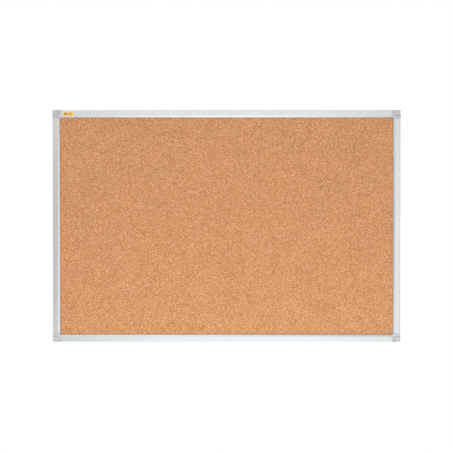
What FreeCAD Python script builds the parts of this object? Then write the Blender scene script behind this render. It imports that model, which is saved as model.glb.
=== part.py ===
"""Framed cork bulletin board, hung on a wall by a screw through each corner piece.

Frame of the part: X to the right, Z up, Y into the wall. The wall is the plane Y = 0 and the
origin is the middle of the four wall screws, so everything lies at Y below zero.

Corner pieces, cover caps, corner screws and rails are each modelled in a side frame. Its origin
is an outer corner of the board at the wall, its X runs along one edge towards the next corner and
its Z runs along the other edge. The four side frames are quarter turns of one another about Y.
"""

import FreeCAD, Part
import Sketcher
import os
import re

# Driving dimensions, in millimetres and degrees
DIMENSIONS = {
    "board_width": 900,
    "board_height": 600,
    # corner piece
    "corner_size": 21.8,
    "corner_depth": 18.5,
    "edge_setback": 0.8,  # rails sit this far back from the corner pieces, at the side and the front
    "wall_gap": 2.0,  # from the rails to the wall
    "inner_corner_radius": 2.2,
    "front_edge_radius": 0.5,
    "spigot_length": 40,
    "spigot_wall": 1.6,
    "spigot_rear": 3.0,
    "spigot_play": 0.1,
    "spigot_edge_radius": 1.4,
    "core_depth": 14,
    "core_near": 1.6,
    "core_far": 3.0,
    # cover cap and its pivot
    "pivot_inset": 3.8,
    "cap_reach": 14.2,  # from the edges of the board to the cap's inner sides
    "cap_inner_radius": 6.0,
    "cap_tail_radius": 0.8,
    "cap_thickness": 1.6,
    "cap_margin": 0.3,
    "cap_gap": 0.85,
    "sweep_gap": 0.3,
    "sweep_start": 45,
    "sweep_angle": 135,
    "cap_lift": 0.3,
    "cap_edge_radius": 0.4,
    "pivot_radius": 1.6,
    "pivot_play": 0.05,
    "pivot_dimple_radius": 1.25,
    "pivot_dimple_floor_radius": 0.875,
    "pivot_dimple_depth": 1.5,
    "nail_dimple_right": 6.6,
    "nail_dimple_up": 9.4,
    "nail_dimple_radius": 1.5,
    "nail_dimple_depth": 0.5,
    "floor_thickness": 2.0,
    "hub_radius": 2.45,
    "hub_thickness": 1.2,
    "hub_play": 0.3,
    "hub_angle": 180,
    "well_radius": 2.75,
    "stop_start": 18,
    "stop_angle": 54,
    "stop_play": 3,
    "stop_inner_radius": 1.95,
    "stop_depth": 1.7,
    # wall screw seat
    "wall_hole_inset": 9.1,
    "wall_hole_radius": 2.0,
    "countersink_radius": 3.5,
    "countersink_depth": 1.9,
    # rail
    "rail_width": 18.2,
    "rail_wall": 1.2,
    "rail_web": 10.5,
    "rail_edge_radius": 1.5,
    "rail_rear_radius": 0.6,
    "rail_gap": 0.15,
    "lip_start": 13.1,
    "lip_drop": 2.2,
    "lip_crease_radius": 2.0,
    "lip_nose_radius": 0.8,
    "flange_reach": 16.2,
    # rail fixing screw
    "fixing_distance": 15,
    "fixing_clearance_radius": 1.6,
    "screw_radius": 1.2,
    "screw_length": 6.5,
    "screw_tip": 1.4,
    "screw_tip_radius": 0.2,
    "screw_head_radius": 2.75,
    "screw_head_height": 1.6,
    "screw_head_edge_radius": 0.9,
    "recess_span": 2.9,
    "recess_width": 0.7,
    "recess_depth": 1.0,
    # panel
    "cork_thickness": 2.0,
    "core_thickness": 8.0,
    "backing_thickness": 0.6,
    "panel_play": 0.1,
    "panel_clearance": 0.3,
    # sticker on the top rail
    "label_width": 26.2,
    "label_height": 8.9,
    "label_thickness": 0.2,
    "label_inset": 28.5,
    "label_drop": 6.1,
}

# Levels counted forward from the wall, and places counted inward from the edge of the board
RAIL_FRONT = "(corner_depth - edge_setback)"
CHAMBER_REAR = "(wall_gap + rail_wall)"
CHAMBER_FRONT = f"({RAIL_FRONT} - rail_wall)"
CHAMBER_OUTER = "(edge_setback + rail_wall)"
CHAMBER_INNER = "(edge_setback + rail_web)"
CHAMBER_MIDDLE = f"(({CHAMBER_OUTER} + {CHAMBER_INNER}) / 2)"
SLOT_EDGE = "(edge_setback + rail_web + rail_wall)"
BACKING_REAR = f"({CHAMBER_REAR} + panel_play)"
CORE_REAR = f"({BACKING_REAR} + backing_thickness)"
CORK_REAR = f"({CORE_REAR} + core_thickness)"
CORK_FRONT = f"({CORK_REAR} + cork_thickness)"
CAP_REAR = "(corner_depth - cap_thickness)"
SEAT_LEVEL = f"({CAP_REAR} - cap_lift)"
WELL_FRONT = f"({SEAT_LEVEL} - floor_thickness)"
FIXING_PLACE = "(corner_size + fixing_distance)"
LIP_SLOPE = "(lip_drop / (rail_width - lip_start))"
# The cap's rounded inner corner: its centre, and how far it reaches from the pivot
CAP_BEND = "(cap_reach - cap_inner_radius)"
CAP_SWEEP = f"(({CAP_BEND} - pivot_inset) * sqrt(2) + cap_inner_radius)"

MARGIN = 1.0  # how far a cutting shape runs past the surface that it opens
TOUCH = 0.01  # points nearer than this to a level lie on it
EDGE_POINTS = 5  # points tested along each edge
FRONTWARD = FreeCAD.Rotation(FreeCAD.Vector(1, 0, 0), 90)  # turns +Z to -Y, out of the wall

# Corner name, the rail that starts there, turn about Y, and the corner's signs in X and Z
SIDES = (
    ("bottom_left", "bottom", 0, -1, -1),
    ("bottom_right", "right", -90, 1, -1),
    ("top_right", "top", 180, 1, 1),
    ("top_left", "left", 90, -1, 1),
)

doc = FreeCAD.newDocument("CorkBulletinBoard")


def make_sheet():
    """The spreadsheet of driving dimensions: the name in column A, its number in column B."""
    table = doc.addObject("Spreadsheet::Sheet", "Dimensions")
    for row, (name, number) in enumerate(DIMENSIONS.items(), 1):
        table.set(f"A{row}", name)
        table.set(f"B{row}", str(number))
        table.setAlias(f"B{row}", name)
    doc.recompute()
    return table


sheet = make_sheet()


def in_sheet(formula):
    """The formula with each dimension's name written as a reference to its cell."""
    return re.sub(r"[a-z]+_[a-z_]+", lambda word: f"Dimensions.{word[0]}", str(formula))


def value(formula):
    return float(sheet.evalExpression(in_sheet(formula)))


def bind(target, **formulas):
    """Binds properties of an object to formulas; two underscores in a name stand for a dot."""
    for name, formula in formulas.items():
        target.setExpression(name.replace("__", "."), in_sheet(formula))


def bind_place(target, right, forward, up):
    """Binds an object's place: right and up in its frame, and forward from the wall."""
    bind(target, Placement__Base__x=right, Placement__Base__y=f"-({forward})", Placement__Base__z=up)


def new_body(label):
    body = doc.addObject("PartDesign::Body", label)
    body.Label = label
    return body


def sketch_on(body, name, role, offset):
    """A sketch parallel to one of the body's origin planes, moved along its normal."""
    sketch = body.newObject("Sketcher::SketchObject", name)
    plane = next(item for item in body.Origin.OriginFeatures if item.Role == role)
    sketch.AttachmentSupport = [(plane, "")]
    sketch.MapMode = "FlatFace"
    bind(sketch, AttachmentOffset__Base__z=offset)
    return sketch


def outline(sketch, points):
    """A closed outline of straight lines, each corner dimensioned from the sketch's origin."""
    corners = [FreeCAD.Vector(value(x), value(y), 0) for x, y in points]
    first = sketch.GeometryCount
    count = len(points)
    for start, end in zip(corners, corners[1:] + corners[:1]):
        sketch.addGeometry(Part.LineSegment(start, end))
    for line in range(count):
        joined = first + (line + 1) % count
        sketch.addConstraint(Sketcher.Constraint("Coincident", first + line, 2, joined, 1))
    for line, (x, y) in enumerate(points, first):
        for kind, formula in (("DistanceX", x), ("DistanceY", y)):
            constraint = Sketcher.Constraint(kind, line, 1, value(formula))
            number = sketch.addConstraint(constraint)
            sketch.setExpression(f"Constraints[{number}]", in_sheet(formula))


def pad(body, name, sketch, length):
    feature = body.newObject("PartDesign::Pad", name)
    feature.Profile = sketch
    bind(feature, Length=length)
    return feature


def block(body, name, kind, low, high):
    """An added or cut box between two corners, each given as right, forward and up."""
    feature = body.newObject(f"PartDesign::{kind}Box", name)
    bind(
        feature,
        Length=f"{high[0]} - {low[0]}",
        Width=f"{high[1]} - {low[1]}",
        Height=f"{high[2]} - {low[2]}",
    )
    bind_place(feature, low[0], high[1], low[2])
    return feature


def post(body, name, kind, place, levels, radius, start=0, angle=360):
    """An added or cut cylinder, or sector of one, square to the wall between two levels.

    Place is right and up. Start and angle run from the frame's X towards its Z.
    """
    feature = body.newObject(f"PartDesign::{kind}Cylinder", name)
    spin = FreeCAD.Rotation(FreeCAD.Vector(0, 0, 1), value(start))
    feature.Placement = FreeCAD.Placement(FreeCAD.Vector(), FRONTWARD * spin)
    bind(feature, Radius=radius, Height=f"{levels[1]} - {levels[0]}", Angle=angle)
    bind_place(feature, place[0], levels[0], place[1])
    return feature


def cone(body, name, kind, place, levels, radii):
    feature = body.newObject(f"PartDesign::{kind}Cone", name)
    feature.Placement = FreeCAD.Placement(FreeCAD.Vector(), FRONTWARD)
    bind(feature, Radius1=radii[0], Radius2=radii[1], Height=f"{levels[1]} - {levels[0]}")
    bind_place(feature, place[0], levels[0], place[1])
    return feature


def edges_where(body, chosen):
    """Names of the edges of the body's last shape whose points all pass the test."""
    doc.recompute()
    return [
        f"Edge{number}"
        for number, edge in enumerate(body.Tip.Shape.Edges, 1)
        if all(chosen(point) for point in edge.discretize(EDGE_POINTS))
    ]


def round_edges(body, name, radius, chosen):
    """Rounds every edge whose points all pass the test."""
    names = edges_where(body, chosen)
    if not names:
        raise RuntimeError(f"{body.Label}: no edge for {name}")
    base = body.Tip
    feature = body.newObject("PartDesign::Fillet", name)
    feature.Base = (base, names)
    bind(feature, Radius=radius)
    return feature


def at(number, formula):
    return abs(number - value(formula)) < TOUCH


def upright_edge(right, up):
    """A test for the edge square to the wall at this place."""
    return lambda point: at(point.x, right) and at(point.z, up)


def place_on_side(target, side):
    """Puts an object made in the side frame at its corner of the board."""
    _, _, turn, right, up = side
    rotation = FreeCAD.Rotation(FreeCAD.Vector(0, 1, 0), turn)
    target.Placement = FreeCAD.Placement(FreeCAD.Vector(), rotation)
    bind_place(target, f"{right} * board_width / 2", 0, f"{up} * board_height / 2")


def make_rail(side):
    """A hollow extrusion with a slot for the panel and a sloping lip that lies on the cork."""
    name = side[1]
    across = name in ("bottom", "top")
    body = new_body(f"rail_{name}")
    sketch = sketch_on(body, f"Section_{name}", "YZ_Plane", "corner_size + rail_gap")

    inner = "(edge_setback + rail_width)"
    lip_underside = f"({CHAMBER_FRONT} - {LIP_SLOPE} * (rail_width - rail_wall - lip_start))"
    outer_line = [
        ("wall_gap", "edge_setback"),
        (RAIL_FRONT, "edge_setback"),
        (RAIL_FRONT, "(edge_setback + lip_start)"),
        (f"({RAIL_FRONT} - lip_drop)", inner),
        (CORK_FRONT, inner),
        (CORK_FRONT, f"({inner} - rail_wall)"),
        (lip_underside, f"({inner} - rail_wall)"),
        (CHAMBER_FRONT, "(edge_setback + lip_start)"),
        (CHAMBER_FRONT, SLOT_EDGE),
        (CHAMBER_REAR, SLOT_EDGE),
        (CHAMBER_REAR, "(edge_setback + flange_reach)"),
        ("wall_gap", "(edge_setback + flange_reach)"),
    ]
    chamber_line = [
        (CHAMBER_REAR, CHAMBER_OUTER),
        (CHAMBER_FRONT, CHAMBER_OUTER),
        (CHAMBER_FRONT, CHAMBER_INNER),
        (CHAMBER_REAR, CHAMBER_INNER),
    ]
    for line in (outer_line, chamber_line):
        outline(sketch, [(f"-{forward}", up) for forward, up in line])
    side_length = "board_width" if across else "board_height"
    pad(body, f"Extrusion_{name}", sketch, f"{side_length} - 2 * (corner_size + rail_gap)")

    def along(forward, up):
        return lambda point: at(-point.y, forward) and at(point.z, up)

    rounded = (
        ("Outer", "rail_edge_radius", RAIL_FRONT, "edge_setback"),
        ("Chamber", "rail_edge_radius - rail_wall", CHAMBER_FRONT, CHAMBER_OUTER),
        ("Rear", "rail_rear_radius", "wall_gap", "edge_setback"),
        ("Crease", "lip_crease_radius", RAIL_FRONT, "edge_setback + lip_start"),
        ("Nose", "lip_nose_radius", f"{RAIL_FRONT} - lip_drop", inner),
    )
    for edge, radius, forward, up in rounded:
        round_edges(body, f"{edge}Edge_{name}", radius, along(forward, up))

    levels = (f"(wall_gap - {MARGIN})", f"({CHAMBER_REAR} + {MARGIN})")
    for end, place in (("Near", FIXING_PLACE), ("Far", f"{side_length} - {FIXING_PLACE}")):
        post(
            body, f"{end}FixingHole_{name}", "Subtractive",
            (place, CHAMBER_MIDDLE), levels, "fixing_clearance_radius",
        )
    place_on_side(body, side)
    return body


def add_spigots(body, name):
    """Two hollow arms that fill the rails' chambers, one along each edge of the board."""
    play = "spigot_play"
    near = (f"({CHAMBER_OUTER} + {play})", f"({CHAMBER_REAR} + {play})")
    far = (f"({CHAMBER_INNER} - {play})", f"({CHAMBER_FRONT} - {play})")
    root = f"(corner_size - {MARGIN})"
    tip = "(corner_size + spigot_length)"
    block(body, f"RightSpigot_{name}", "Additive", (root, near[1], near[0]), (tip, far[1], far[0]))
    block(body, f"UpSpigot_{name}", "Additive", (near[0], near[1], root), (far[0], far[1], tip))

    def long_edge(point):
        beyond_right = point.x > value("corner_size") - TOUCH
        beyond_up = point.z > value("corner_size") - TOUCH
        sides = (beyond_right and (at(point.z, near[0]) or at(point.z, far[0]))) or (
            beyond_up and (at(point.x, near[0]) or at(point.x, far[0]))
        )
        return sides and (at(-point.y, near[1]) or at(-point.y, far[1]))

    round_edges(body, f"SpigotEdges_{name}", "spigot_edge_radius", long_edge)

    wall = "spigot_wall"
    low = (f"({near[0]} + {wall})", f"({near[1]} + spigot_rear)")
    high = (f"({far[0]} - {wall})", f"({far[1]} - {wall})")
    floor = f"(corner_size + {wall})"
    mouth = f"({tip} + {MARGIN})"
    cores = (
        ("Right", (floor, low[1], low[0]), (mouth, high[1], high[0])),
        ("Up", (low[0], low[1], floor), (high[0], high[1], mouth)),
    )
    for arm, near_corner, far_corner in cores:
        block(body, f"{arm}SpigotCore_{name}", "Subtractive", near_corner, far_corner)

    levels = (f"({near[1]} - {MARGIN})", f"({low[1]} + {MARGIN})")
    for arm, place in (
        ("Right", (FIXING_PLACE, CHAMBER_MIDDLE)),
        ("Up", (CHAMBER_MIDDLE, FIXING_PLACE)),
    ):
        post(body, f"{arm}Pilot_{name}", "Subtractive", place, levels, "screw_radius")


def cut_panel_pocket(body, name):
    """The room for the panel's corner, with a lightening pocket in the plate in front of it."""
    past = f"(corner_size + {MARGIN})"
    block(
        body, f"PanelPocket_{name}", "Subtractive",
        (SLOT_EDGE, CHAMBER_REAR, SLOT_EDGE), (past, CORK_FRONT, past),
    )
    near = f"({SLOT_EDGE} + core_near)"
    far = "(corner_size - core_near)"
    block(
        body, f"PlateCore_{name}", "Subtractive",
        (near, f"({CORK_FRONT} - {MARGIN})", near), (far, SEAT_LEVEL, far),
    )


def cut_rear_cores(body, name):
    """Moulding cores, open at the wall side, one beside the root of each spigot."""
    low = (f"({SLOT_EDGE} + core_near / 2)", "core_near")
    high = ("(corner_size - core_far)", f"({SLOT_EDGE} - core_near)")
    block(
        body, f"RightCore_{name}", "Subtractive",
        (low[0], f"-{MARGIN}", low[1]), (high[0], "core_depth", high[1]),
    )
    block(
        body, f"UpCore_{name}", "Subtractive",
        (low[1], f"-{MARGIN}", low[0]), (high[1], "core_depth", high[0]),
    )


def cut_screw_seat(body, name):
    """The hole and countersink for the wall screw, in the floor under the cover cap."""
    place = ("wall_hole_inset", "wall_hole_inset")
    levels = (f"-{MARGIN}", "corner_depth")
    post(body, f"WallHole_{name}", "Subtractive", place, levels, "wall_hole_radius")
    sunk = (f"({SEAT_LEVEL} - countersink_depth)", SEAT_LEVEL)
    radii = ("wall_hole_radius", "countersink_radius")
    cone(body, f"Countersink_{name}", "Subtractive", place, sunk, radii)


def cut_cap_seat(body, name):
    """The recess for the cap, its pivot bore, the hub's well and the stop.

    The recess follows the cap closely along the side that the cap leaves first. From the
    middle of the inner corner on, it is an arc about the pivot, so that the corner can pass.
    """
    place = ("pivot_inset", "pivot_inset")
    seat = (SEAT_LEVEL, f"(corner_depth + {MARGIN})")
    block(
        body, f"CapSeat_{name}", "Subtractive",
        (f"-{MARGIN}", seat[0], f"-{MARGIN}"), ("(cap_reach + cap_gap)", seat[1], CAP_BEND),
    )
    post(
        body, f"CapSeatCorner_{name}", "Subtractive", (CAP_BEND, CAP_BEND), seat,
        "cap_inner_radius + cap_gap",
    )
    post(
        body, f"CapSeatSweep_{name}", "Subtractive", place, seat,
        f"{CAP_SWEEP} + sweep_gap", "sweep_start", "sweep_angle",
    )
    bore = (f"({WELL_FRONT} - {MARGIN})", f"({SEAT_LEVEL} + {MARGIN})")
    well = (f"-{MARGIN}", WELL_FRONT)
    stop = (f"({WELL_FRONT} - stop_depth)", WELL_FRONT)
    post(body, f"PivotBore_{name}", "Subtractive", place, bore, "pivot_radius + pivot_play")
    post(body, f"HubWell_{name}", "Subtractive", place, well, "well_radius")
    post(
        body, f"Stop_{name}", "Additive", place, stop,
        "well_radius + pivot_play", "stop_start", "stop_angle",
    )
    post(body, f"StopBore_{name}", "Subtractive", place, stop, "stop_inner_radius")


def make_corner(side):
    """A moulded corner: square head, two spigots, seat for the wall screw and for the cap."""
    name = side[0]
    body = new_body(f"corner_{name}")
    size = "corner_size"
    block(body, f"Head_{name}", "Additive", ("0", "0", "0"), (size, "corner_depth", size))
    round_edges(body, f"OuterCorner_{name}", "pivot_inset", upright_edge(0, 0))
    round_edges(body, f"InnerCorner_{name}", "inner_corner_radius", upright_edge(size, size))
    round_edges(
        body, f"FrontEdges_{name}", "front_edge_radius",
        lambda point: at(-point.y, "corner_depth"),
    )
    add_spigots(body, name)
    cut_panel_pocket(body, name)
    cut_rear_cores(body, name)
    cut_screw_seat(body, name)
    cut_cap_seat(body, name)
    place_on_side(body, side)
    return body


def make_cap(side):
    """A rounded cover with its pivot pin, and the half-round hub that meets the stop."""
    name = side[0]
    body = new_body(f"corner_cap_{name}")
    place = ("pivot_inset", "pivot_inset")
    block(
        body, f"Plate_{name}", "Additive",
        ("cap_margin", CAP_REAR, "cap_margin"), ("cap_reach", "corner_depth", "cap_reach"),
    )
    for corner, radius, right, up in (
        ("Outer", "pivot_inset - cap_margin", "cap_margin", "cap_margin"),
        ("Inner", "cap_inner_radius", "cap_reach", "cap_reach"),
        ("Right", "cap_tail_radius", "cap_reach", "cap_margin"),
        ("Up", "cap_tail_radius", "cap_margin", "cap_reach"),
    ):
        round_edges(body, f"{corner}CapCorner_{name}", radius, upright_edge(right, up))
    round_edges(
        body, f"CapEdge_{name}", "cap_edge_radius",
        lambda point: at(-point.y, "corner_depth"),
    )

    hub_front = f"({WELL_FRONT} - hub_play)"
    hub_rear = f"({hub_front} - hub_thickness)"
    hub_start = "stop_start + stop_angle + stop_play"
    pin = (hub_rear, f"({CAP_REAR} + cap_lift)")
    post(body, f"Pin_{name}", "Additive", place, pin, "pivot_radius")
    post(
        body, f"Hub_{name}", "Additive", place, (hub_rear, hub_front),
        "hub_radius", hub_start, "hub_angle",
    )

    dimple = ("(corner_depth - pivot_dimple_depth)", "corner_depth")
    radii = ("pivot_dimple_floor_radius", "pivot_dimple_radius")
    cone(body, f"PivotDimple_{name}", "Subtractive", place, dimple, radii)
    nail = body.newObject("PartDesign::SubtractiveSphere", f"NailDimple_{name}")
    ball = "((nail_dimple_radius ^ 2 / nail_dimple_depth + nail_dimple_depth) / 2)"
    bind(nail, Radius=ball)
    centre = f"corner_depth - nail_dimple_depth + {ball}"
    bind_place(nail, "nail_dimple_right", centre, "nail_dimple_up")
    place_on_side(body, side)
    return body


def make_screw(side, arm, place):
    """A pan-head self-tapping screw, driven forward through a rail's rear wall into a spigot."""
    name = f"{arm}_{side[0]}"
    body = new_body(f"screw_{name}")
    head_rear = "(wall_gap - screw_head_height)"
    tip_start = "(wall_gap + screw_length - screw_tip)"
    tip = "(wall_gap + screw_length)"
    post(body, f"ScrewHead_{name}", "Additive", place, (head_rear, "wall_gap"), "screw_head_radius")
    round_edges(
        body, f"HeadEdge_{name}", "screw_head_edge_radius",
        lambda point: at(-point.y, head_rear),
    )
    post(body, f"Shank_{name}", "Additive", place, ("wall_gap", tip_start), "screw_radius")
    radii = ("screw_radius", "screw_tip_radius")
    cone(body, f"Tip_{name}", "Additive", place, (tip_start, tip), radii)
    for slot, across, tall in (
        ("Level", "recess_span / 2", "recess_width / 2"),
        ("Upright", "recess_width / 2", "recess_span / 2"),
    ):
        block(
            body, f"{slot}Slot_{name}", "Subtractive",
            (f"({place[0]} - {across})", f"({head_rear} - {MARGIN})", f"({place[1]} - {tall})"),
            (f"({place[0]} + {across})", f"({head_rear} + recess_depth)", f"({place[1]} + {tall})"),
        )
    place_on_side(body, side)
    return body


def make_screws(side):
    """The corner's two screws, one in each spigot, as one group."""
    group = doc.addObject("Part::Compound", f"corner_screws_{side[0]}")
    group.Label = f"corner_screws_{side[0]}"
    group.Links = [
        make_screw(side, "right", (FIXING_PLACE, CHAMBER_MIDDLE)),
        make_screw(side, "up", (CHAMBER_MIDDLE, FIXING_PLACE)),
    ]
    return group


def make_panel_sheet(label, rear, thickness):
    """One full-size layer of the panel, held in the rails' slots."""
    body = new_body(label)
    half_width = f"(board_width / 2 - {SLOT_EDGE} - panel_clearance)"
    half_height = f"(board_height / 2 - {SLOT_EDGE} - panel_clearance)"
    sketch = sketch_on(body, f"Outline_{label}", "XZ_Plane", rear)
    signs = ((-1, -1), (1, -1), (1, 1), (-1, 1))
    outline(sketch, [(f"{x} * {half_width}", f"{z} * {half_height}") for x, z in signs])
    pad(body, f"Sheet_{label}", sketch, thickness)
    return body


def make_label():
    """A paper sticker on the top rail's flat face, folded over the start of its lip."""
    body = new_body("label")
    sketch = sketch_on(body, "StickerSection", "YZ_Plane", "label_inset - board_width / 2")
    top = "(board_height / 2 - label_drop)"
    crease = "(board_height / 2 - edge_setback - lip_start)"
    low = f"({top} - label_height)"
    lip = f"({RAIL_FRONT} - {LIP_SLOPE} * ({crease} - {low}))"
    rear_line = [(RAIL_FRONT, top), (RAIL_FRONT, crease), (lip, low)]
    front_line = [(f"({forward} + label_thickness)", up) for forward, up in reversed(rear_line)]
    outline(sketch, [(f"-{forward}", up) for forward, up in rear_line + front_line])
    pad(body, "Sticker", sketch, "label_width")
    return body


def make_all():
    """Every node of the part."""
    nodes = [
        make_panel_sheet("cork_sheet", CORK_REAR, "cork_thickness"),
        make_panel_sheet("softboard_core", CORE_REAR, "core_thickness"),
        make_panel_sheet("backing_sheet", BACKING_REAR, "backing_thickness"),
        make_label(),
    ]
    for maker in (make_rail, make_corner, make_cap, make_screws):
        nodes.extend(maker(side) for side in SIDES)
    return nodes


def check(nodes):
    """Stops on a failed object, an unsound shape or a node with the wrong number of solids."""
    for item in doc.Objects:
        if {"Invalid", "Error"} & set(item.State):
            raise RuntimeError(f"{item.Label} failed: {item.State}")
    for node in nodes:
        solids = 2 if node.Label.startswith("corner_screws") else 1
        if node.Shape.isNull() or not node.Shape.isValid():
            raise RuntimeError(f"{node.Label} has no sound shape")
        if len(node.Shape.Solids) != solids:
            raise RuntimeError(f"{node.Label} has {len(node.Shape.Solids)} solids")


def print_facts():
    """Where the wall holes and the pivots are, for the mounts and the joints."""
    for name, inset in (("wall holes", "wall_hole_inset"), ("pivots", "pivot_inset")):
        apart = [value(f"{side} - 2 * {inset}") for side in ("board_width", "board_height")]
        print(f"{name} apart: {apart[0]:.2f} x {apart[1]:.2f}")
    travel = 360 - value("hub_angle + stop_angle + 2 * stop_play")
    print(f"cap travel: {travel:.1f} degrees")


def main():
    nodes = make_all()
    doc.recompute()
    check(nodes)
    os.makedirs("parts", exist_ok=True)
    for node in nodes:
        node.Shape.exportStep(f"parts/{node.Label}.step")
        print(f"{node.Label}: {node.Shape.Volume:.1f} mm3")
    print_facts()


main()
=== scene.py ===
import math

import bmesh
import bpy
import numpy as np
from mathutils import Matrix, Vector


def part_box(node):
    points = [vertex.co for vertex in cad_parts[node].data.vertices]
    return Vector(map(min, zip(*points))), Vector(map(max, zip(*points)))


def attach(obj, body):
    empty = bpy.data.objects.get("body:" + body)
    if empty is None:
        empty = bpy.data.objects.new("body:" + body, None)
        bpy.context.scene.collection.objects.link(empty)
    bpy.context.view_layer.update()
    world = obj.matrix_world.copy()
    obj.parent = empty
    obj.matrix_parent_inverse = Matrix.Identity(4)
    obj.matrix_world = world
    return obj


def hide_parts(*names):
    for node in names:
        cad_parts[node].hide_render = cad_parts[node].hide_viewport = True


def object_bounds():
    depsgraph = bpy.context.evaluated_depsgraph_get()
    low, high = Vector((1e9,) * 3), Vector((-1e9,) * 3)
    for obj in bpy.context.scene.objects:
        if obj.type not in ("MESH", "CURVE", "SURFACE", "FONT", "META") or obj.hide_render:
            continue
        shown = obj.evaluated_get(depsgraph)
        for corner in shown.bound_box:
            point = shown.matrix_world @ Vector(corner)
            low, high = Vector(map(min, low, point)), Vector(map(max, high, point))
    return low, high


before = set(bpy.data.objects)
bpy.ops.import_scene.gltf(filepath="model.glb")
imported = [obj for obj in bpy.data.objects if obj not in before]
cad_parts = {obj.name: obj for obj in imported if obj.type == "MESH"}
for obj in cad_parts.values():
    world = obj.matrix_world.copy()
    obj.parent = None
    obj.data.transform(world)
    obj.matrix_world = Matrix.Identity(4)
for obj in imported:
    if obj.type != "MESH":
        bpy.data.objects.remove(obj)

# Lengths are in metres, angles in degrees and tones are linear.

# ---------------------------------------------------------------- the frame

CAD_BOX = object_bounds()
BOARD_LOW, BOARD_HIGH = CAD_BOX
BOARD_CENTRE = (BOARD_LOW + BOARD_HIGH) / 2
SIDES = ("bottom", "right", "top", "left")
CORNERS = ("bottom_left", "bottom_right", "top_right", "top_left")

# ---------------------------------------------------------------- camera, lights and stage

CAMERA_DISTANCE = 3.0
CAMERA_ELEVATION = 0.7
CAMERA_REACH = 50.0
VIEW_WIDTH = 1.1686  # across the picture, at the board's face
SENSOR_WIDTH = 36.0  # millimetres
AIM_RIGHT = -0.0015  # from the board's centre
AIM_UP = 0.0003

WORLD_WHITE = (1.0, 1.0, 1.0)
# name, azimuth and elevation from the board's centre, distance, size, watts
SOFTBOXES = (
    ("key_right", 20, -2, 2.0, 1.0, 3.0),
    ("front_high", 0, 25, 2.0, 1.0, 3.5),
    ("fill_left", -20, 25, 2.0, 1.0, 2.0),
    ("front_low", 0, -25, 1.5, 1.0, 2.5),
    ("foot_left", -30, -50, 1.0, 1.0, 2.0),
    ("foot_right", 30, -60, 1.0, 1.0, 3.5),
)
FLOOR_DROP = 1.0  # from the board's lower edge
FLOOR_RADIUS = 2.0
FLOOR_SEGMENTS = 96


def direction(azimuth, elevation):
    """A unit vector from the board: azimuth 0 points out of the cork and 90 to the right."""
    across, up = math.radians(azimuth), math.radians(elevation)
    return Vector(
        (math.sin(across) * math.cos(up), -math.cos(across) * math.cos(up), math.sin(up))
    )


def make_camera():
    data = bpy.data.cameras.new("camera")
    data.sensor_width = SENSOR_WIDTH
    data.lens = SENSOR_WIDTH * CAMERA_DISTANCE / VIEW_WIDTH
    data.clip_end = CAMERA_REACH
    camera = bpy.data.objects.new("camera", data)
    bpy.context.scene.collection.objects.link(camera)
    back = direction(0, CAMERA_ELEVATION)
    face = Vector((BOARD_CENTRE.x + AIM_RIGHT, BOARD_LOW.y, BOARD_CENTRE.z + AIM_UP))
    camera.location = face + back * CAMERA_DISTANCE
    camera.rotation_mode = "QUATERNION"
    camera.rotation_quaternion = (-back).to_track_quat("-Z", "Y")
    bpy.context.scene.camera = camera


def make_softbox(name, azimuth, elevation, distance, size, watts):
    """A square light that faces the board's centre and isn't seen itself."""
    data = bpy.data.lights.new(name, "AREA")
    data.shape = "SQUARE"
    data.size = size
    data.energy = watts
    light = bpy.data.objects.new(name, data)
    bpy.context.scene.collection.objects.link(light)
    away = direction(azimuth, elevation)
    light.location = BOARD_CENTRE + away * distance
    light.rotation_mode = "QUATERNION"
    light.rotation_quaternion = away.to_track_quat("Z", "Y")
    light.visible_camera = False


def make_world():
    world = bpy.data.worlds.new("studio")
    world.use_nodes = True
    background = world.node_tree.nodes["Background"]
    background.inputs["Color"].default_value = (*WORLD_WHITE, 1.0)
    background.inputs["Strength"].default_value = 1.0
    bpy.context.scene.world = world
    bpy.context.scene.view_settings.view_transform = "Standard"


def make_floor(material):
    """A round, pale studio floor under the board."""
    shape = bmesh.new()
    bmesh.ops.create_circle(shape, cap_ends=True, radius=FLOOR_RADIUS, segments=FLOOR_SEGMENTS)
    data = bpy.data.meshes.new("studio_floor")
    shape.to_mesh(data)
    shape.free()
    data.materials.append(material)
    floor = bpy.data.objects.new("studio_floor", data)
    floor.location = (BOARD_CENTRE.x, BOARD_CENTRE.y, BOARD_LOW.z - FLOOR_DROP)
    bpy.context.scene.collection.objects.link(floor)


# ---------------------------------------------------------------- material graphs


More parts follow.
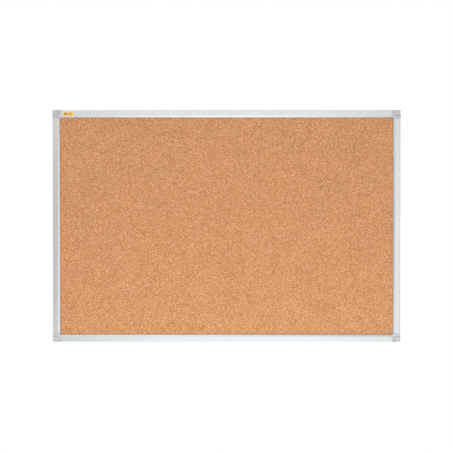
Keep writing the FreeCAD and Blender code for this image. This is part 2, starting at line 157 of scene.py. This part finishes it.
class Graph:
    """A material's node tree, with one short call for each kind of node that is used here."""

    def __init__(self, name):
        self.material = bpy.data.materials.new(name)
        self.material.use_nodes = True
        self.tree = self.material.node_tree
        self.shader = self.tree.nodes["Principled BSDF"]
        self.place = self.tree.nodes.new("ShaderNodeTexCoord").outputs["Object"]

    def node(self, kind, links=(), **settings):
        """A node with its properties set and its inputs linked or filled."""
        made = self.tree.nodes.new(f"ShaderNode{kind}")
        for name, value in settings.items():
            setattr(made, name, value)
        for name, value in dict(links).items():
            self.feed(made.inputs[name], value)
        return made

    def computed(self, kind, operation, values):
        """The result of a node that works on numbers or vectors."""
        made = self.node(kind, operation=operation)
        for socket, value in zip(made.inputs, values):
            self.feed(socket, value)
        return made.outputs[0]

    def feed(self, socket, value):
        if isinstance(value, bpy.types.NodeSocket):
            self.tree.links.new(value, socket)
        else:
            socket.default_value = value

    def surface(self, **values):
        """Feeds the shader: words joined by an underscore name its sockets."""
        for name, value in values.items():
            self.feed(self.shader.inputs[name.replace("_", " ")], value)

    def scaled(self, factors):
        """The place in the piece, with each axis scaled."""
        links = {"Vector": self.place, "Scale": factors}
        return self.node("Mapping", links).outputs["Vector"]

    def drifted(self, drift, reach):
        """The place in the piece, moved by the drift's three parts times the reach."""
        values = (drift, (reach,) * 3, self.place)
        return self.computed("VectorMath", "MULTIPLY_ADD", values)

    def noise(self, vector, scale, detail=2.0, roughness=0.5, distortion=0.0):
        links = {
            "Vector": vector, "Scale": scale, "Detail": detail,
            "Roughness": roughness, "Distortion": distortion,
        }
        return self.node("TexNoise", links).outputs

    def cells(self, vector, scale, feature="F1"):
        links = {"Vector": vector, "Scale": scale}
        return self.node("TexVoronoi", links, feature=feature).outputs

    def draws(self, vector, scale):
        """Three random numbers for each cell, as Red, Green and Blue."""
        links = {"Color": self.cells(vector, scale)["Color"]}
        return self.node("SeparateColor", links).outputs

    def ramp(self, factor, stops):
        """Colours or greys at places along the factor."""
        made = self.node("ValToRGB", {"Fac": factor})
        elements = made.color_ramp.elements
        while len(elements) < len(stops):
            elements.new(0.5)
        for element, (place, colour) in zip(elements, stops):
            element.position = place
            colour = (colour,) * 3 if isinstance(colour, float) else colour
            element.color = (*colour, 1.0)
        return made.outputs["Color"]

    def mix(self, factor, first, second, blend="MIX"):
        made = self.node("Mix", data_type="RGBA", blend_type=blend)
        colours = [socket for socket in made.inputs if socket.type == "RGBA"]
        self.feed(made.inputs[0], factor)
        for socket, value in zip(colours, (first, second)):
            self.feed(socket, (*value, 1.0) if isinstance(value, tuple) else value)
        return next(socket for socket in made.outputs if socket.type == "RGBA")

    def shaded(self, colour, factor, stops):
        """The colour multiplied by a ramp."""
        return self.mix(1.0, colour, self.ramp(factor, stops), "MULTIPLY")

    def mottled(self, factor, colour, share):
        """The colour, darker by the share where the factor is 0 and lighter where it is 1."""
        return self.mix(factor, tone(colour, *(1 - share,) * 3), tone(colour, *(1 + share,) * 3))

    def spread(self, factor, low, high):
        """A factor from 0 to 1 as a number from low to high."""
        return self.computed("Math", "MULTIPLY_ADD", (factor, high - low, low))

    def bump(self, height, distance, strength):
        links = {"Height": height, "Distance": distance, "Strength": strength}
        return self.node("Bump", links).outputs["Normal"]


def tone(colour, *factors):
    return tuple(part * factor for part, factor in zip(colour, factors))


# ---------------------------------------------------------------- cork

CORK_TONE = (0.488, 0.231, 0.097)
CORK_GRANULE = 0.0014  # across
CORK_DRIFT = 0.0013  # how far the granules' outlines wander
CORK_GRAIN_DEPTH = 0.00012
# Cells along the width of a granule
CRUMB_RATE = 2.3
FLECK_RATE = 0.8
CHIP_RATE = 2.9
# Ramps along a cell's random number, with factors on the cork's tone or on its brightness
GRANULE_TONES = (
    (0.0, (0.62, 0.48, 0.27)),
    (0.3, (0.90, 0.85, 0.75)),
    (0.7, (1.10, 1.14, 1.22)),
    (1.0, (1.31, 1.52, 2.06)),
)
GRANULE_TINTS = ((0.0, (0.955, 0.91, 0.75)), (1.0, (1.045, 1.09, 1.26)))
CRUMB_SHADES = ((0.0, 0.80), (0.5, 1.0), (1.0, 1.17))
# Ramps that pick the few cells with another tone, and that tone as factors
BARK_PICK, BARK_FACTORS = ((0.972, 0.0), (0.98, 1.0)), (0.66, 0.54, 0.45)
PALE_PICK, PALE_FACTORS = ((0.965, 0.0), (0.975, 1.0)), (1.22, 1.36, 1.6)
CHIP_PICK, CHIP_FACTORS = ((0.955, 0.0), (0.965, 0.85)), (0.42, 0.30, 0.22)
# Ramps along a noise, and along the distance from the seam between two granules
PORE_SHADES = ((0.25, 0.84), (0.5, 1.0), (0.75, 1.12))
CLOUD_SHADES = ((0.3, 0.97), (0.7, 1.03))
SEAM_SHADES = ((0.0, 0.84), (0.09, 1.0))
SEAM_RISE = ((0.0, 0.0), (0.16, 1.0))


def make_cork_material():
    """Agglomerated cork: pressed granules of mixed tone with bark flecks, sanded flat."""
    graph = Graph("cork")
    drift = graph.noise(graph.place, 900.0, detail=4.0, roughness=0.62)["Color"]
    place = graph.drifted(drift, CORK_DRIFT)
    granule = graph.draws(place, 1 / CORK_GRANULE)
    crumb = graph.draws(place, CRUMB_RATE / CORK_GRANULE)
    fleck = graph.draws(place, FLECK_RATE / CORK_GRANULE)
    chip = graph.draws(place, CHIP_RATE / CORK_GRANULE)
    seams = graph.cells(place, 1 / CORK_GRANULE, "DISTANCE_TO_EDGE")["Distance"]
    pores = graph.noise(graph.place, 3800.0, roughness=0.6)["Fac"]
    clouds = graph.noise(graph.place, 22.0, detail=3.0)["Fac"]
    sanding = graph.noise(graph.place, 1500.0)["Fac"]

    tones = [(draw, tone(CORK_TONE, *factors)) for draw, factors in GRANULE_TONES]
    colour = graph.ramp(granule["Red"], tones)
    colour = graph.shaded(colour, crumb["Green"], CRUMB_SHADES)
    colour = graph.shaded(colour, granule["Green"], GRANULE_TINTS)
    bark = graph.ramp(fleck["Blue"], BARK_PICK)
    colour = graph.mix(bark, colour, tone(CORK_TONE, *BARK_FACTORS))
    pale = graph.ramp(fleck["Green"], PALE_PICK)
    colour = graph.mix(pale, colour, tone(CORK_TONE, *PALE_FACTORS))
    colour = graph.shaded(colour, pores, PORE_SHADES)
    dark = graph.ramp(chip["Red"], CHIP_PICK)
    colour = graph.mix(dark, colour, tone(CORK_TONE, *CHIP_FACTORS))
    colour = graph.shaded(colour, seams, SEAM_SHADES)
    colour = graph.shaded(colour, clouds, CLOUD_SHADES)

    pressed = graph.ramp(seams, SEAM_RISE)
    height = graph.computed("Math", "MULTIPLY_ADD", (sanding, 0.5, pressed))
    graph.surface(
        Base_Color=colour, Roughness=graph.spread(granule["Blue"], 0.78, 0.95),
        Normal=graph.bump(height, CORK_GRAIN_DEPTH, 0.5), Specular_IOR_Level=0.25,
    )
    return graph.material


CORK_PITCH = 0.0023
CORK_JITTER = 0.32  # as a share of the pitch
CORK_RELIEF = 0.00009
PIT_SHARE = 0.012
PIT_DEPTHS = (0.5, 1.6)  # as shares of the relief
SEED = 7


def cork_front(low, high, columns, rows):
    """The cork's front as rows of uneven points, each sunk by up to the relief or a pit."""
    random = np.random.default_rng(SEED)
    across, up = np.meshgrid(
        np.linspace(low.x, high.x, columns + 1), np.linspace(low.z, high.z, rows + 1)
    )
    inner = np.s_[1:-1, 1:-1]
    for places in (across, up):
        jitter = random.uniform(-CORK_JITTER, CORK_JITTER, places[inner].shape)
        places[inner] += jitter * CORK_PITCH
    sunk = random.uniform(0.0, CORK_RELIEF, across.shape)
    pits = random.random(across.shape) < PIT_SHARE
    sunk[pits] += random.uniform(*PIT_DEPTHS, pits.sum()) * CORK_RELIEF
    return np.stack([across, low.y + sunk, up], -1)


def make_cork_sheet(material):
    """The cork face: the uneven front, four flat edges and a flat rear."""
    low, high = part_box("cork_sheet")
    columns = round((high.x - low.x) / CORK_PITCH)
    rows = round((high.z - low.z) / CORK_PITCH)
    front = cork_front(low, high, columns, rows)
    rear = front[[0, -1]]
    rear[..., 1] = high.y
    points = np.concatenate([front.reshape(-1, 3), rear.reshape(-1, 3)])

    index = np.arange(len(points)).reshape(-1, columns + 1)
    rear_low, rear_high = index[-2:]

    def strip(lower, upper):
        return np.stack([lower[:-1], lower[1:], upper[1:], upper[:-1]], -1)

    faces = [strip(index[row], index[row + 1]) for row in range(rows)]
    faces += [
        strip(rear_low, index[0]),
        strip(index[rows], rear_high),
        strip(rear_high, rear_low),
    ]
    quads = np.concatenate(faces).tolist()
    left_end = [*index[:rows + 1, 0].tolist(), int(rear_high[0]), int(rear_low[0])]
    right_end = [*index[rows::-1, -1].tolist(), int(rear_low[-1]), int(rear_high[-1])]
    mesh = bpy.data.meshes.new("cork_face")
    mesh.from_pydata(points.tolist(), [], [*quads, left_end, right_end])
    mesh.materials.append(material)
    front_count = rows * columns
    flat_count = len(mesh.polygons) - front_count
    smooth = [True] * front_count + [False] * flat_count
    mesh.polygons.foreach_set("use_smooth", smooth)
    link_piece("cork_face", mesh, "board", "cork_sheet")


def link_piece(name, mesh, body, node):
    piece = bpy.data.objects.new(name, mesh)
    bpy.context.scene.collection.objects.link(piece)
    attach(piece, body)
    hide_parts(node)
    return piece


# ---------------------------------------------------------------- sticker

LABEL_COLUMNS = 68
LABEL_ROWS = 24
LABEL_CORNER = 0.0009
LABEL_THICKNESS = 0.00015
LABEL_LIFT = 0.00016
LIP_SLOPE = 2.2 / 5.1  # a rail's lip falls back 2.2 mm over 5.1 mm
CREASE_REACH = 0.0004
LABEL_INKS = {
    "label_yellow": (0.70, 0.48, 0.045),
    "label_amber": (0.65, 0.34, 0.035),
    "label_orange": (0.60, 0.185, 0.013),
    "label_brown": (0.16, 0.065, 0.020),
    "label_lemon": (0.71, 0.48, 0.022),
}
# Left, right, lower and upper edge as shares of the sticker. Later fields lie over earlier ones.
LABEL_FIELDS = (
    ("label_yellow", 0.0, 1.0, 0.0, 1.0),
    ("label_amber", 0.055, 0.84, 0.13, 0.87),
    ("label_orange", 0.055, 0.28, 0.13, 0.87),
    ("label_brown", 0.20, 0.265, 0.18, 0.78),
    ("label_lemon", 0.87, 0.97, 0.13, 0.87),
    ("label_brown", 0.45, 0.56, 0.66, 0.72),
    ("label_brown", 0.62, 0.80, 0.66, 0.72),
    ("label_brown", 0.62, 0.77, 0.46, 0.52),
    ("label_orange", 0.30, 0.54, 0.44, 0.54),
    ("label_brown", 0.60, 0.80, 0.27, 0.33),
)


def make_print_material(name, colour):
    """Printed, lacquered paper in one ink."""
    graph = Graph(name)
    fibres = graph.noise(graph.place, 1800.0, detail=3.0)["Fac"]
    graph.surface(
        Base_Color=graph.mottled(fibres, colour, 0.06), Roughness=graph.spread(fibres, 0.4, 0.55),
        Normal=graph.bump(fibres, 0.00002, 0.2), Specular_IOR_Level=0.3,
    )
    return graph.material


def ink_at(right, up):
    """The last field of the print that covers a place on the sticker."""
    return [
        ink for ink, left, end, low, high in LABEL_FIELDS
        if left <= right <= end and low <= up <= high
    ][-1]


def label_point(x, z, low, high, rail_front):
    """A place on the sticker, drawn in at its round corners and bent over the rail's crease."""
    near = Vector((
        min(max(x, low.x + LABEL_CORNER), high.x - LABEL_CORNER), 0.0,
        min(max(z, low.z + LABEL_CORNER), high.z - LABEL_CORNER),
    ))
    away = Vector((x, 0.0, z)) - near
    away *= min(1.0, LABEL_CORNER / max(away.length, LABEL_CORNER))
    point = near + away
    crease = low.z + (high.y - rail_front) / LIP_SLOPE
    bend = min(max(crease + CREASE_REACH - point.z, 0.0), 2 * CREASE_REACH)
    drop = bend * bend / (4 * CREASE_REACH)
    drop += max(crease - CREASE_REACH - point.z, 0.0)
    point.y = rail_front - LABEL_LIFT + drop * LIP_SLOPE
    return point


def make_label():
    """A thin sticker with rounded corners, bent over the crease of the top rail."""
    low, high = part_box("label")
    rail_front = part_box("rail_top")[0].y
    inks = list(LABEL_INKS)
    shape = bmesh.new()
    grid = {}
    for column in range(LABEL_COLUMNS + 1):
        for row in range(LABEL_ROWS + 1):
            x = low.x + (high.x - low.x) * column / LABEL_COLUMNS
            z = low.z + (high.z - low.z) * row / LABEL_ROWS
            grid[column, row] = shape.verts.new(label_point(x, z, low, high, rail_front))
    for column in range(LABEL_COLUMNS):
        for row in range(LABEL_ROWS):
            around = ((0, 0), (1, 0), (1, 1), (0, 1))
            face = shape.faces.new([grid[column + x, row + z] for x, z in around])
            ink = ink_at((column + 0.5) / LABEL_COLUMNS, (row + 0.5) / LABEL_ROWS)
            face.material_index = inks.index(ink)
            face.smooth = True
    mesh = bpy.data.meshes.new("label_sticker")
    shape.to_mesh(mesh)
    shape.free()
    for ink, colour in LABEL_INKS.items():
        mesh.materials.append(make_print_material(ink, colour))
    sticker = link_piece("label_sticker", mesh, "board", "label")
    paper = sticker.modifiers.new("paper", "SOLIDIFY")
    paper.thickness = LABEL_THICKNESS
    paper.offset = -1.0


# ---------------------------------------------------------------- frame, backing and screws

RAIL_TONE = (0.44, 0.455, 0.465)
RAIL_LINE_DEPTH = 0.000012
CORNER_TONE = (0.37, 0.38, 0.39)
CAP_TONE = (0.38, 0.39, 0.40)
ZINC_BLUISH, ZINC_YELLOWISH = (0.52, 0.53, 0.55), (0.68, 0.67, 0.64)
SOFTBOARD_LIGHT, SOFTBOARD_DARK = (0.50, 0.38, 0.25), (0.33, 0.23, 0.14)
BACKING_LIGHT, BACKING_DARK = (0.48, 0.38, 0.27), (0.36, 0.27, 0.18)
BLOTCH_SHADES = ((0.3, 0.94), (0.7, 1.05))
FLOOR_DARK, FLOOR_LIGHT = (0.93, 0.93, 0.93), (0.97, 0.97, 0.97)


def make_rail_material(name, along):
    """Satin anodised aluminium, with the fine lines of the extrusion die along the rail."""
    graph = Graph(name)

    def stretched(across, scale, detail):
        factors = [1.0 if axis == along else across for axis in range(3)]
        return graph.noise(graph.scaled(factors), scale, detail, roughness=0.6)["Fac"]

    lines = stretched(60.0, 90.0, 3.0)
    fine = stretched(400.0, 30.0, 2.0)
    haze = graph.noise(graph.place, 14.0, detail=3.0)["Fac"]
    parts = (graph.spread(fine, -0.05, 0.05), graph.spread(haze, 0.29, 0.37))
    graph.surface(
        Base_Color=graph.mottled(lines, RAIL_TONE, 0.04), Metallic=1.0,
        Roughness=graph.computed("Math", "ADD", parts),
        Normal=graph.bump(lines, RAIL_LINE_DEPTH, 1.0),
    )
    return graph.material


def make_plastic_material(name, colour, roughness):
    """Moulded plastic with a fine spark-eroded grain and faint flow marks."""
    graph = Graph(name)
    flow = graph.noise(graph.place, 60.0, detail=3.0, distortion=0.4)["Fac"]
    grain = graph.noise(graph.place, 2600.0)["Fac"]
    shade = graph.mix(flow, tone(colour, 0.95, 0.95, 0.955), tone(colour, 1.05, 1.05, 1.045))
    graph.surface(
        Base_Color=shade, Roughness=graph.spread(grain, roughness - 0.06, roughness + 0.06),
        Normal=graph.bump(grain, 0.00003, 0.4),
    )
    return graph.material


def make_fibre_material(name, light, dark, scale):
    """Felted fibres: softboard and kraft backing."""
    graph = Graph(name)
    place = graph.scaled((1.0, 1.0, 2.2))
    fibres = graph.noise(place, scale, detail=6.0, roughness=0.65, distortion=1.2)["Fac"]
    blotch = graph.noise(graph.place, 9.0, detail=3.0)["Fac"]
    graph.surface(
        Base_Color=graph.shaded(graph.mix(fibres, dark, light), blotch, BLOTCH_SHADES),
        Roughness=graph.spread(fibres, 0.8, 0.95), Normal=graph.bump(fibres, 0.0002, 0.4),
    )
    return graph.material


def make_zinc_material():
    """Bright zinc plating with the soft mottling of a barrel-plated screw."""
    graph = Graph("zinc_plating")
    mottle = graph.noise(graph.place, 700.0, detail=3.0)["Fac"]
    graph.surface(
        Base_Color=graph.mix(mottle, ZINC_BLUISH, ZINC_YELLOWISH), Metallic=1.0,
        Roughness=graph.spread(mottle, 0.22, 0.42), Normal=graph.bump(mottle, 0.00003, 0.3),
    )
    return graph.material


def make_floor_material():
    graph = Graph("floor_white")
    grain = graph.noise(graph.place, 40.0, detail=3.0)["Fac"]
    graph.surface(
        Base_Color=graph.mix(grain, FLOOR_DARK, FLOOR_LIGHT), Roughness=0.9,
        Specular_IOR_Level=0.0,
    )
    return graph.material


def give(node, material):
    """Sets a CAD node's material in its own slots."""
    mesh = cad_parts[node].data
    if not mesh.materials:
        mesh.materials.append(material)
    for slot in range(len(mesh.materials)):
        mesh.materials[slot] = material


def dress_frame():
    """Materials of the CAD nodes that are shown as they are."""
    level = make_rail_material("aluminium_level", 0)
    upright = make_rail_material("aluminium_upright", 2)
    for side in SIDES:
        give(f"rail_{side}", level if side in ("bottom", "top") else upright)
    corner = make_plastic_material("corner_plastic", CORNER_TONE, 0.5)
    cap = make_plastic_material("cap_plastic", CAP_TONE, 0.46)
    zinc = make_zinc_material()
    for name in CORNERS:
        give(f"corner_{name}", corner)
        give(f"corner_cap_{name}", cap)
        give(f"corner_screws_{name}", zinc)
    softboard = make_fibre_material("softboard", SOFTBOARD_LIGHT, SOFTBOARD_DARK, 500.0)
    give("softboard_core", softboard)
    backing = make_fibre_material("backing_board", BACKING_LIGHT, BACKING_DARK, 380.0)
    give("backing_sheet", backing)


make_camera()
make_world()
for softbox in SOFTBOXES:
    make_softbox(*softbox)
make_floor(make_floor_material())
make_cork_sheet(make_cork_material())
make_label()
dress_frame()
